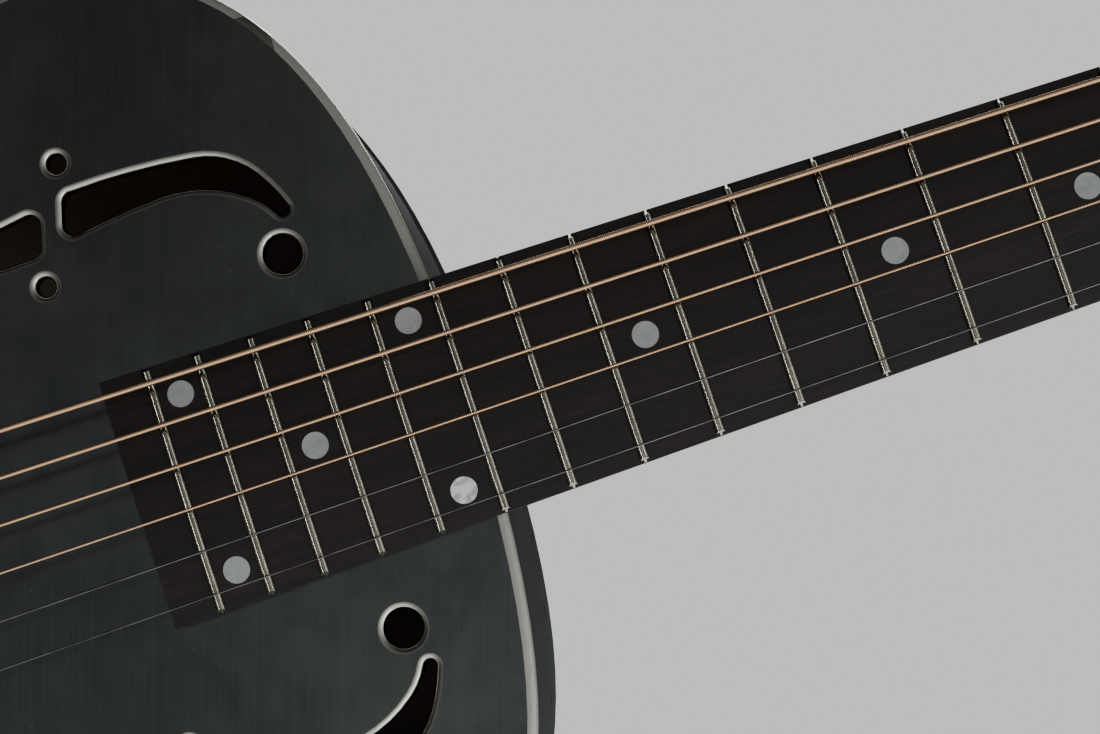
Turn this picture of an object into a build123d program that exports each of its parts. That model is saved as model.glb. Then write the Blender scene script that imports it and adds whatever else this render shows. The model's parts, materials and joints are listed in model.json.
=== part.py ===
from build123d import *
import os
from math import asin, atan2, cos, degrees, pi, radians, sin

# Resonator guitar with a sheet metal body, one spun cone and a solid headstock.
# Units are millimetres. +X points to the treble side, +Z along the neck, and the top faces -Y.
# The origin lies on the flat back, straight behind the bridge saddle.

os.makedirs("parts", exist_ok=True)

# ------------------------------------------------------------------ driving dimensions
scale_length = 635.0
joint_fret = 14
fret_count = 19
string_count = 6

body_depth = 84.0
sheet = 1.0
rim_radius = 2.5
skirt = 6.0

# body outline: half widths and heights of the two bouts and the waist
tail_z = -178.0
lower_half = 181.0
lower_z = -8.0
waist_half = 111.0
waist_z = 138.0
waist_radius = 58.0
upper_half = 131.3
upper_z = 206.4
shoulder_z = 283.35

# sound holes of the treble side; the bass side mirrors them
f_centre = (72.35, 198.7)
f_eye = (47.3, 250.4)
f_nick = (86.4, 204.4)
eye_radius = 6.25
nick_radius = 4.0
roll = 1.7
lip_depth = 3.0

# neck, board and strings; heights are above the plane of the fret crowns
neck_tilt = 1.0
crown_height = 8.0
nut_half = 22.5
saddle_half = 34.55
board_overhang = 82.6
board_thickness = 6.0
board_radius = 400.0
fret_width = 2.3
fret_height = 1.1
fret_tang = 0.55
fret_tang_depth = 2.2
dot_radius = 3.2
nut_thickness = 5.0
nut_string_spacing = 7.86
saddle_string_spacing = 11.64
tail_string_spacing = 10.0
nut_string_height = 0.5
action_at_12 = 2.5
string_diameters = [0.33, 0.43, 0.66, 0.89, 1.14, 1.42]

head_angle = 14.0
head_length = 150.0
head_thickness = 15.0
overlay_thickness = 1.5

# tuners, in the headstock's own frame
post_x = 24.5
post_pitch = 35.7
first_post_y = 36.0
post_radius = 3.0
post_waist = 2.5
string_level = 8.0
gear_teeth = 14
worm_pitch = 2.6
worm_radius = 2.9
running_gap = 0.05

# cone and cover plate
well_radius = 121.5
well_depth = 20.0
cover_radius = 139.7
cover_rise = 9.0

# ------------------------------------------------------------------ derived sizes and frames
joint_z = scale_length * 2 ** (-joint_fret / 12)
board_top = -fret_height
board_base = board_top - board_thickness
nut_y = scale_length - joint_z
board_end_y = -board_overhang
gear_radius = gear_teeth * worm_pitch / (2 * pi)
worm_offset = gear_radius + worm_radius

neck_plane = Plane(
    origin=(0, -(body_depth + crown_height), joint_z),
    x_dir=(1, 0, 0),
    z_dir=(0, -cos(radians(neck_tilt)), sin(radians(neck_tilt))),
)
side_plane = Plane(origin=neck_plane.origin, x_dir=neck_plane.y_dir, z_dir=(1, 0, 0))
head_tilt = neck_tilt + head_angle
head_plane = Plane(
    origin=neck_plane.from_local_coords(Vector(0, nut_y + nut_thickness, board_base)),
    x_dir=(1, 0, 0),
    z_dir=(0, -cos(radians(head_tilt)), sin(radians(head_tilt))),
)
# sections through the cone's axis: local x is the radius, local y the height above the back
axis_section = Plane(origin=(0, 0, 0), x_dir=(1, 0, 0), z_dir=(0, 0, -1))
cone_axis = Axis((0, 0, 0), (0, -1, 0))


def level(height):
    """Plane parallel to the back at a height above it, with local y along the neck."""
    return Plane.XZ.offset(height)


def across(y):
    """Plane square to the neck at a distance from the body joint; local y is height."""
    point = neck_plane.from_local_coords(Vector(0, y, 0))
    return Plane(origin=point, x_dir=(1, 0, 0), z_dir=-neck_plane.y_dir)


def fret_y(number):
    """Distance of a fret from the body joint, towards the nut."""
    return scale_length * 2 ** (-number / 12) - joint_z


def board_half(y):
    """Half width of the fingerboard at a distance from the body joint."""
    return nut_half + (saddle_half - nut_half) * (nut_y - y) / scale_length


def keep(builder, node):
    """Name a finished piece and write it."""
    builder.part.label = node
    export_step(builder.part, f"parts/{node}.step")


# ------------------------------------------------------------------ body
def smooth_s(inner_half, outer_half, rise):
    """Sum of the radii of two arcs that meet in a smooth S, and the angle where they meet."""
    spread = outer_half - inner_half
    radii = (spread**2 + rise**2) / (2 * spread)
    return radii, degrees(atan2(rise, radii - spread))


lower_radii, lower_angle = smooth_s(waist_half, lower_half, waist_z - lower_z)
upper_radii, upper_angle = smooth_s(waist_half, upper_half, upper_z - waist_z)
lower_radius = lower_radii - waist_radius
upper_radius = upper_radii - waist_radius
tail_fullness = 0.58
shoulder_handle = 0.865
shoulder_reach = 0.469


def body_outline(inset):
    """Outline of the body, pulled inwards by an inset."""
    low = lower_half - inset
    high = upper_half - inset
    tail = tail_z + inset
    shoulder = shoulder_z - inset
    with BuildSketch() as outline:
        with BuildLine():
            Bezier(
                (0, tail),
                (tail_fullness * low, tail),
                (low, lower_z + tail_fullness * (tail - lower_z)),
                (low, lower_z),
            )
            CenterArc((lower_half - lower_radius, lower_z), lower_radius - inset, 0, lower_angle)
            CenterArc(
                (waist_half + waist_radius, waist_z),
                waist_radius + inset,
                180 + lower_angle,
                -(lower_angle + upper_angle),
            )
            CenterArc(
                (upper_half - upper_radius, upper_z),
                upper_radius - inset,
                -upper_angle,
                upper_angle,
            )
            Bezier(
                (high, upper_z),
                (high, upper_z + shoulder_handle * (shoulder - upper_z)),
                (shoulder_reach * high, shoulder),
                (0, shoulder),
            )
            mirror(about=Plane.YZ)
        make_face()
    return outline.sketch


# one lobe of the sound hole: an outer and an inner chain of tangent arcs, joined by a round tip
with BuildSketch() as f_slot:
    with BuildLine():
        outer_low = TangentArc((80.2, 202.2), (78.2, 237.0), tangent=(0.035, 1))
        outer_bend = TangentArc(outer_low @ 1, (68.8, 251.7), tangent=outer_low % 1)
        outer_high = TangentArc(outer_bend @ 1, (58.8, 256.6), tangent=outer_bend % 1)
        inner_low = TangentArc((65.5, 198.1), (68.7, 226.0), tangent=(0.2, 1))
        inner_bend = TangentArc(inner_low @ 1, (62.0, 246.2), tangent=inner_low % 1)
        inner_high = TangentArc(inner_bend @ 1, (56.2, 250.9), tangent=inner_bend % 1)
        TangentArc(outer_high @ 1, inner_high @ 1, tangent=outer_high % 1)
        Line(inner_low @ 0, outer_low @ 0)
    make_face()
    fillet(f_slot.vertices().sort_by(Axis.Y)[0:2], radius=4.2)

with BuildSketch() as f_hole:
    add(f_slot.sketch)
    with Locations(f_eye):
        Circle(eye_radius)
    with Locations(f_nick):
        Circle(nick_radius)

f_turn = Location((2 * f_centre[0], 2 * f_centre[1], 0), (0, 0, 180))

with BuildSketch() as sound_holes:
    add(f_hole.sketch)
    add(f_hole.sketch.moved(f_turn))
    mirror(about=Plane.YZ)


def sheet_pan():
    """Sheet metal lid of the body: a flat face with a rounded rim and a short skirt."""
    with BuildPart() as hollow:
        with BuildSketch(level(body_depth - sheet)):
            add(body_outline(sheet))
        extrude(amount=-skirt)
        fillet(hollow.faces().sort_by(Axis.Y)[0].edges(), radius=rim_radius - sheet)
    with BuildPart() as pan:
        with BuildSketch(level(body_depth)):
            add(body_outline(0))
        extrude(amount=-skirt)
        fillet(pan.faces().sort_by(Axis.Y)[0].edges(), radius=rim_radius)
        add(hollow.part, mode=Mode.SUBTRACT)
    return pan.part


lid = sheet_pan()
cover_screw_circle = 132.0
cover_screw_count = 9
cover_screw_radius = 1.2
cover_screw_head = 3.2
cover_screw_head_height = 2.0
cover_screw_length = 7.0

with BuildPart() as top_plate:
    add(lid)
    with BuildSketch(level(body_depth)):
        add(sound_holes.sketch)
        offset(amount=sheet - roll)
    extrude(amount=-lip_depth)
    with BuildSketch(level(body_depth)):
        add(sound_holes.sketch)
        offset(amount=-roll)
    extrude(amount=-lip_depth, mode=Mode.SUBTRACT)
    fillet(top_plate.faces().sort_by(Axis.Y)[0].inner_wires().edges(), radius=roll - 0.01)
    with BuildSketch(level(body_depth)):
        Circle(well_radius)
        with PolarLocations(cover_screw_circle, cover_screw_count, start_angle=90):
            Circle(cover_screw_radius)
    extrude(amount=-lip_depth, mode=Mode.SUBTRACT)
keep(top_plate, "top_plate")

with BuildPart() as back_plate:
    add(lid)
    mirror(about=level(body_depth / 2), mode=Mode.REPLACE)
keep(back_plate, "back_plate")

stick_half = 16.0
stick_low = 26.0
stick_high = 50.0
stick_tail_z = -173.0
strap_screw_depth = 26.0
support_radius = 14.0
support_places = [(0, -110), (0, 0), (0, 110)]
button_level = 38.0
tail_screw_radius = 1.5
tail_screws = [(-13, 62), (13, 62), (0, 70)]
strap_screw_radius = 2.2

with BuildPart() as side_band:
    with BuildSketch(level(rim_radius)):
        add(body_outline(sheet))
    extrude(amount=body_depth - 2 * rim_radius)
    with BuildSketch(level(rim_radius)):
        add(body_outline(2 * sheet))
    extrude(amount=body_depth - 2 * rim_radius, mode=Mode.SUBTRACT)
    # window for the neck stick
    with BuildSketch(Plane.XY.offset(shoulder_z)):
        with Locations((0, -(stick_low + stick_high) / 2)):
            Rectangle(2 * stick_half, stick_high - stick_low)
    extrude(amount=-2 * skirt, mode=Mode.SUBTRACT)
    # holes for the tailpiece screws and the end button's screw
    with BuildSketch(Plane.XY.offset(tail_z)):
        with Locations(*[(x, -height) for x, height in tail_screws]):
            Circle(tail_screw_radius)
        with Locations((0, -button_level)):
            Circle(strap_screw_radius)
    extrude(amount=2 * skirt, mode=Mode.SUBTRACT)
keep(side_band, "side_band")

ledge_width = 8.5
well_floor = body_depth - sheet - well_depth

with BuildPart() as cone_well:
    with BuildSketch(axis_section):
        with BuildLine():
            Polyline(
                (well_radius - ledge_width, well_floor - sheet),
                (well_radius + sheet, well_floor - sheet),
                (well_radius + sheet, body_depth - 2 * sheet),
                (well_radius + 6 * sheet, body_depth - 2 * sheet),
                (well_radius + 6 * sheet, body_depth - sheet),
                (well_radius, body_depth - sheet),
                (well_radius, well_floor),
                (well_radius - ledge_width, well_floor),
                close=True,
            )
        make_face()
    revolve(axis=cone_axis)
keep(cone_well, "cone_well")

with BuildPart() as neck_stick:
    with BuildSketch(Plane.XY.offset(stick_tail_z)):
        with Locations((0, -(stick_low + stick_high) / 2)):
            Rectangle(2 * stick_half, stick_high - stick_low)
    extrude(amount=shoulder_z - stick_tail_z - 1.0)
    chamfer(neck_stick.edges().filter_by(Axis.Z), length=1.5)
    with BuildSketch(Plane.XY.offset(stick_tail_z)):
        with Locations((0, -button_level)):
            Circle(strap_screw_radius)
    extrude(amount=strap_screw_depth, mode=Mode.SUBTRACT)
keep(neck_stick, "neck_stick")

with BuildPart() as stick_supports:
    with BuildSketch(level(sheet)):
        with Locations(*support_places):
            Circle(support_radius)
    extrude(amount=stick_low - sheet)
keep(stick_supports, "stick_supports")

# ------------------------------------------------------------------ cone, biscuit and saddle
cone_sheet = 0.8
cone_rim = well_radius - 0.6
cone_foot = 114.5
cone_flat = 24.0
cone_top = body_depth + 1.5
biscuit_thickness = 6.0
biscuit_radius = 22.0
biscuit_screw_radius = 1.6
biscuit_screw_depth = 2.8
biscuit_top = cone_top + biscuit_thickness
crown_level = body_depth + crown_height + joint_z * sin(radians(neck_tilt))
action_slope = (action_at_12 - nut_string_height) / (scale_length / 2)
saddle_level = crown_level + nut_string_height + action_slope * scale_length
saddle_thickness = 2.8
saddle_sink = 3.0
saddle_half_length = 34.0
saddle_foot = biscuit_radius
saddle_wing_rise = 4.0
string_sink = 0.4
string_notch = 4.0
notch_clearance = 0.2

with BuildPart() as resonator_cone:
    with BuildSketch(axis_section):
        with BuildLine():
            Polyline(
                (biscuit_screw_radius, cone_top),
                (cone_flat, cone_top),
                (cone_foot - 3, well_floor + 4),
                (cone_foot, well_floor + cone_sheet),
                (cone_rim, well_floor + cone_sheet),
                (cone_rim, well_floor),
                (cone_foot - 0.7, well_floor),
                (cone_foot - 3.8, well_floor + 3.2),
                (cone_flat - 0.3, cone_top - cone_sheet),
                (biscuit_screw_radius, cone_top - cone_sheet),
                close=True,
            )
        make_face()
    revolve(axis=cone_axis)
keep(resonator_cone, "resonator_cone")

with BuildPart() as bridge_biscuit:
    with BuildSketch(level(cone_top)):
        Circle(biscuit_radius)
    extrude(amount=biscuit_thickness)
    fillet(bridge_biscuit.faces().sort_by(Axis.Y)[0].edges(), radius=1.5)
    with BuildSketch(level(biscuit_top)):
        Rectangle(2 * saddle_half_length, saddle_thickness)
    extrude(amount=-saddle_sink, mode=Mode.SUBTRACT)
    with BuildSketch(level(cone_top)):
        Circle(biscuit_screw_radius)
    extrude(amount=biscuit_screw_depth, mode=Mode.SUBTRACT)
keep(bridge_biscuit, "bridge_biscuit")

with BuildPart() as biscuit_screw:
    with BuildSketch(level(cone_top - cone_sheet)):
        Circle(3.4)
    extrude(amount=-1.8)
    fillet(biscuit_screw.faces().sort_by(Axis.Y)[-1].edges(), radius=1.2)
    with BuildSketch(level(cone_top - cone_sheet)):
        Circle(biscuit_screw_radius)
    extrude(amount=biscuit_screw_depth - 0.2 + cone_sheet)
keep(biscuit_screw, "biscuit_screw")


def string_x(number, spacing):
    """Sideways place of a string; string 1 is the thinnest, on the treble side."""
    return ((string_count + 1) / 2 - number) * spacing


string_bend_z = -saddle_thickness / 2 - 0.1
notch_middle = saddle_level + string_notch / 2 - 0.06

with BuildPart() as bridge_saddle:
    with BuildSketch(axis_section.offset(-saddle_thickness / 2)):
        with BuildLine():
            Polyline(
                (-saddle_foot, biscuit_top - saddle_sink),
                (saddle_foot, biscuit_top - saddle_sink),
                (saddle_foot, biscuit_top),
                (saddle_half_length, biscuit_top + saddle_wing_rise),
                (saddle_half_length, saddle_level + string_sink),
                (-saddle_half_length, saddle_level + string_sink),
                (-saddle_half_length, biscuit_top + saddle_wing_rise),
                (-saddle_foot, biscuit_top),
                close=True,
            )
        make_face()
    extrude(amount=saddle_thickness)
    for number, diameter in enumerate(string_diameters, start=1):
        with BuildSketch(axis_section.offset(-saddle_thickness / 2)):
            with Locations((string_x(number, saddle_string_spacing), notch_middle)):
                Rectangle(diameter + notch_clearance, string_notch)
        extrude(amount=saddle_thickness, mode=Mode.SUBTRACT)
keep(bridge_saddle, "bridge_saddle")

# ------------------------------------------------------------------ cover plate and hand rest
cover_top = body_depth + cover_rise
cover_shoulder = 113.0
cover_flange = 124.0
cover_window = (92, 50)
cover_window_corner = 14.0
vent_width = 6.5
vent_fans = 8
vent_rings = [(66, 22), (82, 25), (98, 27)]

with BuildPart() as cover_plate:
    with BuildSketch(axis_section):
        with BuildLine():
            Polyline(
                (0, cover_top),
                (cover_shoulder, cover_top),
                (cover_flange, body_depth + sheet),
                (cover_radius, body_depth + sheet),
                (cover_radius, body_depth),
                (cover_flange - 0.6, body_depth),
                (cover_shoulder - 0.6, cover_top - sheet),
                (0, cover_top - sheet),
                close=True,
            )
        make_face()
    revolve(axis=cone_axis)
    # opening over the biscuit
    with BuildSketch(level(cover_top)):
        RectangleRounded(*cover_window, cover_window_corner)
    extrude(amount=-cover_rise, mode=Mode.SUBTRACT)
    # vents: fans of curved slots on three circles
    with BuildSketch(level(cover_top)):
        for vent_radius, span in vent_rings:
            for fan in range(vent_fans):
                middle = (fan + 0.5) * 360 / vent_fans
                with BuildLine(mode=Mode.PRIVATE) as vent_line:
                    CenterArc((0, 0), vent_radius, middle - span / 2, span)
                SlotArc(vent_line.edge(), vent_width)
    extrude(amount=-2 * sheet, mode=Mode.SUBTRACT)
    with BuildSketch(level(body_depth)):
        with PolarLocations(cover_screw_circle, cover_screw_count, start_angle=90):
            Circle(cover_screw_radius)
    extrude(amount=2 * sheet, mode=Mode.SUBTRACT)
keep(cover_plate, "cover_plate")

rest_half = 66.0
rest_foot = 54.0
rest_clear = saddle_level + 5.0
rest_sheet = 1.2
rest_width = 34.0
rest_haunch = 40.0

with BuildPart() as hand_rest:
    with BuildSketch(axis_section.offset(-rest_width / 2)):
        with BuildLine():
            Line((-rest_half, cover_top), (-rest_foot, cover_top))
            Spline(
                (-rest_foot, cover_top),
                (-rest_haunch, rest_clear - 2),
                (0, rest_clear + 1),
                (rest_haunch, rest_clear - 2),
                (rest_foot, cover_top),
            )
            Line((rest_foot, cover_top), (rest_half, cover_top))
            Line((rest_half, cover_top), (rest_half, cover_top + rest_sheet))
            Line((rest_half, cover_top + rest_sheet), (rest_foot + 1, cover_top + rest_sheet))
            Spline(
                (rest_foot + 1, cover_top + rest_sheet),
                (rest_haunch + 0.6, rest_clear - 2 + rest_sheet),
                (0, rest_clear + 1 + rest_sheet),
                (-rest_haunch - 0.6, rest_clear - 2 + rest_sheet),
                (-rest_foot - 1, cover_top + rest_sheet),
            )
            Line((-rest_foot - 1, cover_top + rest_sheet), (-rest_half, cover_top + rest_sheet))
            Line((-rest_half, cover_top + rest_sheet), (-rest_half, cover_top))
        make_face()
    extrude(amount=rest_width)
keep(hand_rest, "hand_rest")

with BuildPart() as cover_screws:
    with BuildSketch(level(body_depth + sheet)):
        with PolarLocations(cover_screw_circle, cover_screw_count, start_angle=90):
            Circle(cover_screw_head)
    extrude(amount=cover_screw_head_height)
    fillet(cover_screws.faces().group_by(Axis.Y)[0].edges(), radius=1.4)
    with BuildSketch(level(body_depth + sheet + cover_screw_head_height)):
        with PolarLocations(cover_screw_circle, cover_screw_count, start_angle=90):
            Rectangle(2.5 * cover_screw_head, 0.8)
    extrude(amount=-0.9, mode=Mode.SUBTRACT)
    with BuildSketch(level(body_depth + sheet)):
        with PolarLocations(cover_screw_circle, cover_screw_count, start_angle=90):
            Circle(cover_screw_radius)
    extrude(amount=-cover_screw_length)
keep(cover_screws, "cover_screws")


# ------------------------------------------------------------------ tailpiece and end button
hinge_z = -171.0
hinge_level = body_depth + 5.2
hinge_axis = Axis((0, -hinge_level, hinge_z), (1, 0, 0))
hinge_pin_radius = 1.5
knuckle_radius = 3.2
knuckle_split = 12.0
knuckle_end = 21.0
bracket_sheet = 1.6
bracket_half = 21.0
bracket_foot = 30.0
bracket_hug = 12.0
bracket_top_end = hinge_z + 5
anchor_low = body_depth + 4.2
anchor_sheet = 1.8
anchor_front_z = -138.0
anchor_bar = 3.5
anchor_half = 31.0
anchor_neck_z = hinge_z + 5
anchor_shoulder_z = hinge_z + 14
anchor_height = 9.5
anchor_slot_clearance = 1.0
ball_level = body_depth + 10.5
ball_radius = 2.1
ball_half_length = 1.8
ball_z = anchor_front_z - anchor_bar - 0.6 - ball_radius

# sections square to the hinge pin: local x points to the neck, local y to the front
tail_section = Plane(origin=(0, 0, 0), x_dir=(0, 0, 1), z_dir=(1, 0, 0))

with BuildPart() as tailpiece_bracket:
    # leg that hugs the tail of the body
    with BuildSketch(level(bracket_foot)):
        add(body_outline(-bracket_sheet))
        add(body_outline(0), mode=Mode.SUBTRACT)
        with Locations((0, tail_z)):
            Rectangle(2 * bracket_half, bracket_hug, mode=Mode.INTERSECT)
    extrude(amount=body_depth + bracket_sheet - bracket_foot)
    # top leg on the face, with the two outer knuckles of the hinge
    with BuildSketch(level(body_depth)):
        add(body_outline(-bracket_sheet))
        with Locations((0, bracket_top_end - bracket_hug / 2)):
            Rectangle(2 * bracket_half, bracket_hug + 4, mode=Mode.INTERSECT)
    extrude(amount=bracket_sheet)
    for side in (-1, 1):
        with BuildSketch(tail_section.offset(side * (knuckle_split + 0.3))):
            with Locations((hinge_z, hinge_level)):
                Circle(knuckle_radius)
            with Locations((hinge_z, (body_depth + hinge_level) / 2)):
                Rectangle(2 * knuckle_radius, hinge_level - body_depth)
        extrude(amount=side * (knuckle_end - knuckle_split - 0.3))
    with BuildSketch(tail_section):
        with Locations((hinge_z, hinge_level)):
            Circle(hinge_pin_radius)
    extrude(amount=bracket_half, both=True, mode=Mode.SUBTRACT)
    with BuildSketch(Plane.XY.offset(tail_z)):
        with Locations(*[(x, -height) for x, height in tail_screws]):
            Circle(tail_screw_radius)
        with Locations((0, -button_level)):
            Circle(strap_screw_radius)
    extrude(amount=bracket_hug / 2, both=True, mode=Mode.SUBTRACT)
keep(tailpiece_bracket, "tailpiece_bracket")

with BuildPart() as tailpiece_hinge_pin:
    with BuildSketch(tail_section):
        with Locations((hinge_z, hinge_level)):
            Circle(hinge_pin_radius)
    extrude(amount=knuckle_end + 0.2, both=True)
    for side in (-1, 1):
        with BuildSketch(tail_section.offset(side * (knuckle_end + 0.1))):
            with Locations((hinge_z, hinge_level)):
                Circle(hinge_pin_radius + 0.9)
        extrude(amount=side * 1.2)
    fillet(tailpiece_hinge_pin.faces().sort_by(Axis.X)[0].edges(), radius=0.8)
    fillet(tailpiece_hinge_pin.faces().sort_by(Axis.X)[-1].edges(), radius=0.8)
keep(tailpiece_hinge_pin, "tailpiece_hinge_pin")

with BuildPart() as tailpiece_anchor:
    # centre knuckle and the plate that carries the slotted bar
    with BuildSketch(level(anchor_low)):
        with BuildLine():
            Polyline(
                (-knuckle_split, hinge_z),
                (-knuckle_split, anchor_neck_z),
                (-anchor_half, anchor_shoulder_z),
                (-anchor_half, anchor_front_z),
                (anchor_half, anchor_front_z),
                (anchor_half, anchor_shoulder_z),
                (knuckle_split, anchor_neck_z),
                (knuckle_split, hinge_z),
                close=True,
            )
        make_face()
    extrude(amount=anchor_sheet)
    with BuildSketch(level(anchor_low)):
        with Locations((0, anchor_front_z - anchor_bar / 2)):
            Rectangle(2 * anchor_half, anchor_bar)
    extrude(amount=anchor_height)
    fillet(tailpiece_anchor.edges().filter_by(Axis.X).sort_by(Axis.Y)[0:2], radius=1.2)
    with BuildSketch(tail_section):
        with Locations((hinge_z, hinge_level)):
            Circle(knuckle_radius)
    extrude(amount=knuckle_split, both=True)
    with BuildSketch(tail_section):
        with Locations((hinge_z, hinge_level)):
            Circle(hinge_pin_radius + running_gap)
    extrude(amount=knuckle_split, both=True, mode=Mode.SUBTRACT)
    # one slot per string, open at the top
    for number, diameter in enumerate(string_diameters, start=1):
        with BuildSketch(level(anchor_low + anchor_sheet + 2)):
            with Locations((string_x(number, tail_string_spacing), anchor_front_z - anchor_bar / 2)):
                Rectangle(diameter + anchor_slot_clearance, anchor_bar + 2)
        extrude(amount=anchor_height, mode=Mode.SUBTRACT)
keep(tailpiece_anchor, "tailpiece_anchor")

tail_face_z = tail_z - bracket_sheet - 0.9
tail_screw_length = 9.0

with BuildPart() as tailpiece_screws:
    with BuildSketch(Plane.XY.offset(tail_face_z)):
        with Locations(*[(x, -height) for x, height in tail_screws]):
            Circle(2 * tail_screw_radius)
    extrude(amount=-1.8)
    fillet(tailpiece_screws.faces().group_by(Axis.Z)[0].edges(), radius=1.3)
    with BuildSketch(Plane.XY.offset(tail_face_z)):
        with Locations(*[(x, -height) for x, height in tail_screws]):
            Circle(tail_screw_radius)
    extrude(amount=tail_screw_length)
keep(tailpiece_screws, "tailpiece_screws")


strap_base = 6.5
strap_waist = 4.2
strap_head = 6.2
strap_height = 11.2


def strap_button(base, shank):
    """Turned button with a waist, a domed head and a screw shank behind its base plane."""
    profile = Plane(base.origin, x_dir=base.x_dir, z_dir=-base.y_dir)
    with BuildPart() as button:
        with BuildSketch(profile):
            with BuildLine():
                Polyline(
                    (0, -shank), (strap_screw_radius, -shank), (strap_screw_radius, 0), (strap_base, 0)
                )
                ThreePointArc((strap_base, 0), (strap_waist, 4.0), (strap_head, 8.0))
                ThreePointArc((strap_head, 8.0), (strap_head - 0.1, 9.7), (4.8, 10.6))
                Polyline((4.8, 10.6), (0, strap_height), (0, -shank))
            make_face()
        revolve(axis=Axis(base.origin, base.z_dir))
    return button.part


with BuildPart() as end_strap_button:
    add(
        strap_button(
            Plane(origin=(0, -button_level, tail_z - bracket_sheet), x_dir=(1, 0, 0), z_dir=(0, 0, -1)),
            strap_screw_depth + 2,
        )
    )
keep(end_strap_button, "end_strap_button")

# ------------------------------------------------------------------ neck
heel_depth = 68.0
heel_cap = 17.0
heel_start = 60.0
heel_gap = 4.0
heel_merge_half = 7.0
heel_flare_end = 14.0
neck_start = 1.0
neck_depth_heel = 17.5
neck_depth_nut = 14.0
truss_radius = 3.0
truss_level = board_base - 5.0
truss_pocket = 17.0
truss_pocket_width = 10.0
bushing_radius = 4.3
bushing_length = 8.0
bushing_rim = 1.4
bushing_rim_height = 1.1
post_bore = post_radius + 0.3
head_foot_half = 23.5
post_ys = [first_post_y + rank * post_pitch for rank in range(3)]
truss_cover_sheet = 1.4
cover_plan = [(-8.5, 2.0), (8.5, 2.0), (8.5, 20), (0, 27.5), (-8.5, 20)]
cover_screw_places = [(-6.8, 3.7), (6.8, 3.7), (0, 23.5)]
small_screw_radius = 0.8
plate_screw_radius = 1.3
plate_screw_length = 8.0
plate_screw_head = 2.5
plate_screw_ys = [26.5, first_post_y + post_pitch / 2, first_post_y + 1.5 * post_pitch, 124.0]
plate_screw_places = [(side * post_x, y) for side in (-1, 1) for y in plate_screw_ys]
heel_button_plane = Plane(
    origin=neck_plane.from_local_coords(Vector(0, 8.5, board_base - heel_depth)),
    x_dir=(1, 0, 0),
    z_dir=-neck_plane.z_dir,
)
heel_button_shank = 20.0


def post_place(number):
    """Centre of a string's post on the headstock; string 1 is on the treble side."""
    if number <= 3:
        return post_x, post_ys[number - 1]
    return -post_x, post_ys[6 - number]


post_places = [post_place(number) for number in range(1, string_count + 1)]

with BuildSketch() as head_outline:
    with BuildLine():
        flare = Spline((head_foot_half, 0), (29.0, 10.0), (35.5, 24.0), tangents=[(0.2, 1), (0.35, 1)])
        shoulder = Line(flare @ 1, (38.5, head_length - 16))
        Spline(shoulder @ 1, (31.0, head_length - 5), (0, head_length), tangents=[(-0.1, 1), (-1, 0)])
        mirror(about=Plane.YZ)
        Line((-head_foot_half, 0), (head_foot_half, 0))
    make_face()

with BuildPart() as heel:
    with BuildSketch(side_plane):
        with BuildLine():
            Polyline(
                (heel_start, board_base - neck_depth_heel + 1),
                (heel_start, board_base),
                (-heel_gap, board_base),
                (-heel_gap, board_base - heel_depth),
                (heel_cap, board_base - heel_depth),
            )
            Spline(
                (heel_cap, board_base - heel_depth),
                (26.0, board_base - 38.0),
                (heel_start, board_base - neck_depth_heel + 1),
                tangents=[(0.05, 1), (1, 0.02)],
            )
        make_face()
    extrude(amount=40, both=True)
    with BuildSketch(across(heel_start)):
        with BuildLine():
            top_half = board_half(heel_start)
            Line((-top_half, board_base), (top_half, board_base))
            Spline(
                (top_half, board_base),
                (top_half - 5.5, board_base - 22),
                (14.5, board_base - 48),
                (0, board_base - heel_depth),
                tangents=[(0, -1), (-1, 0)],
            )
            mirror(about=Plane.YZ)
        make_face()
    extrude(amount=heel_start + heel_gap + 2, mode=Mode.INTERSECT)
    # seen from behind, the heel flares out of the rounded neck
    with BuildSketch(neck_plane.offset(board_base)):
        with BuildLine():
            flare_half = board_half(0) + 1
            Line((0, heel_start), (heel_merge_half, heel_start))
            Spline(
                (heel_merge_half, heel_start),
                (flare_half, heel_flare_end),
                tangents=[(0.35, -1), (0.3, -1)],
            )
            Polyline(
                (flare_half, heel_flare_end),
                (flare_half, -heel_gap - 2),
                (0, -heel_gap - 2),
            )
            mirror(about=Plane.YZ)
        make_face()
    extrude(amount=-heel_depth - 1, mode=Mode.INTERSECT)
    # the heel meets the curved end of the body
    with BuildSketch(level(0)):
        add(body_outline(0))
    extrude(amount=body_depth + 2 * crown_height, mode=Mode.SUBTRACT)

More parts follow.
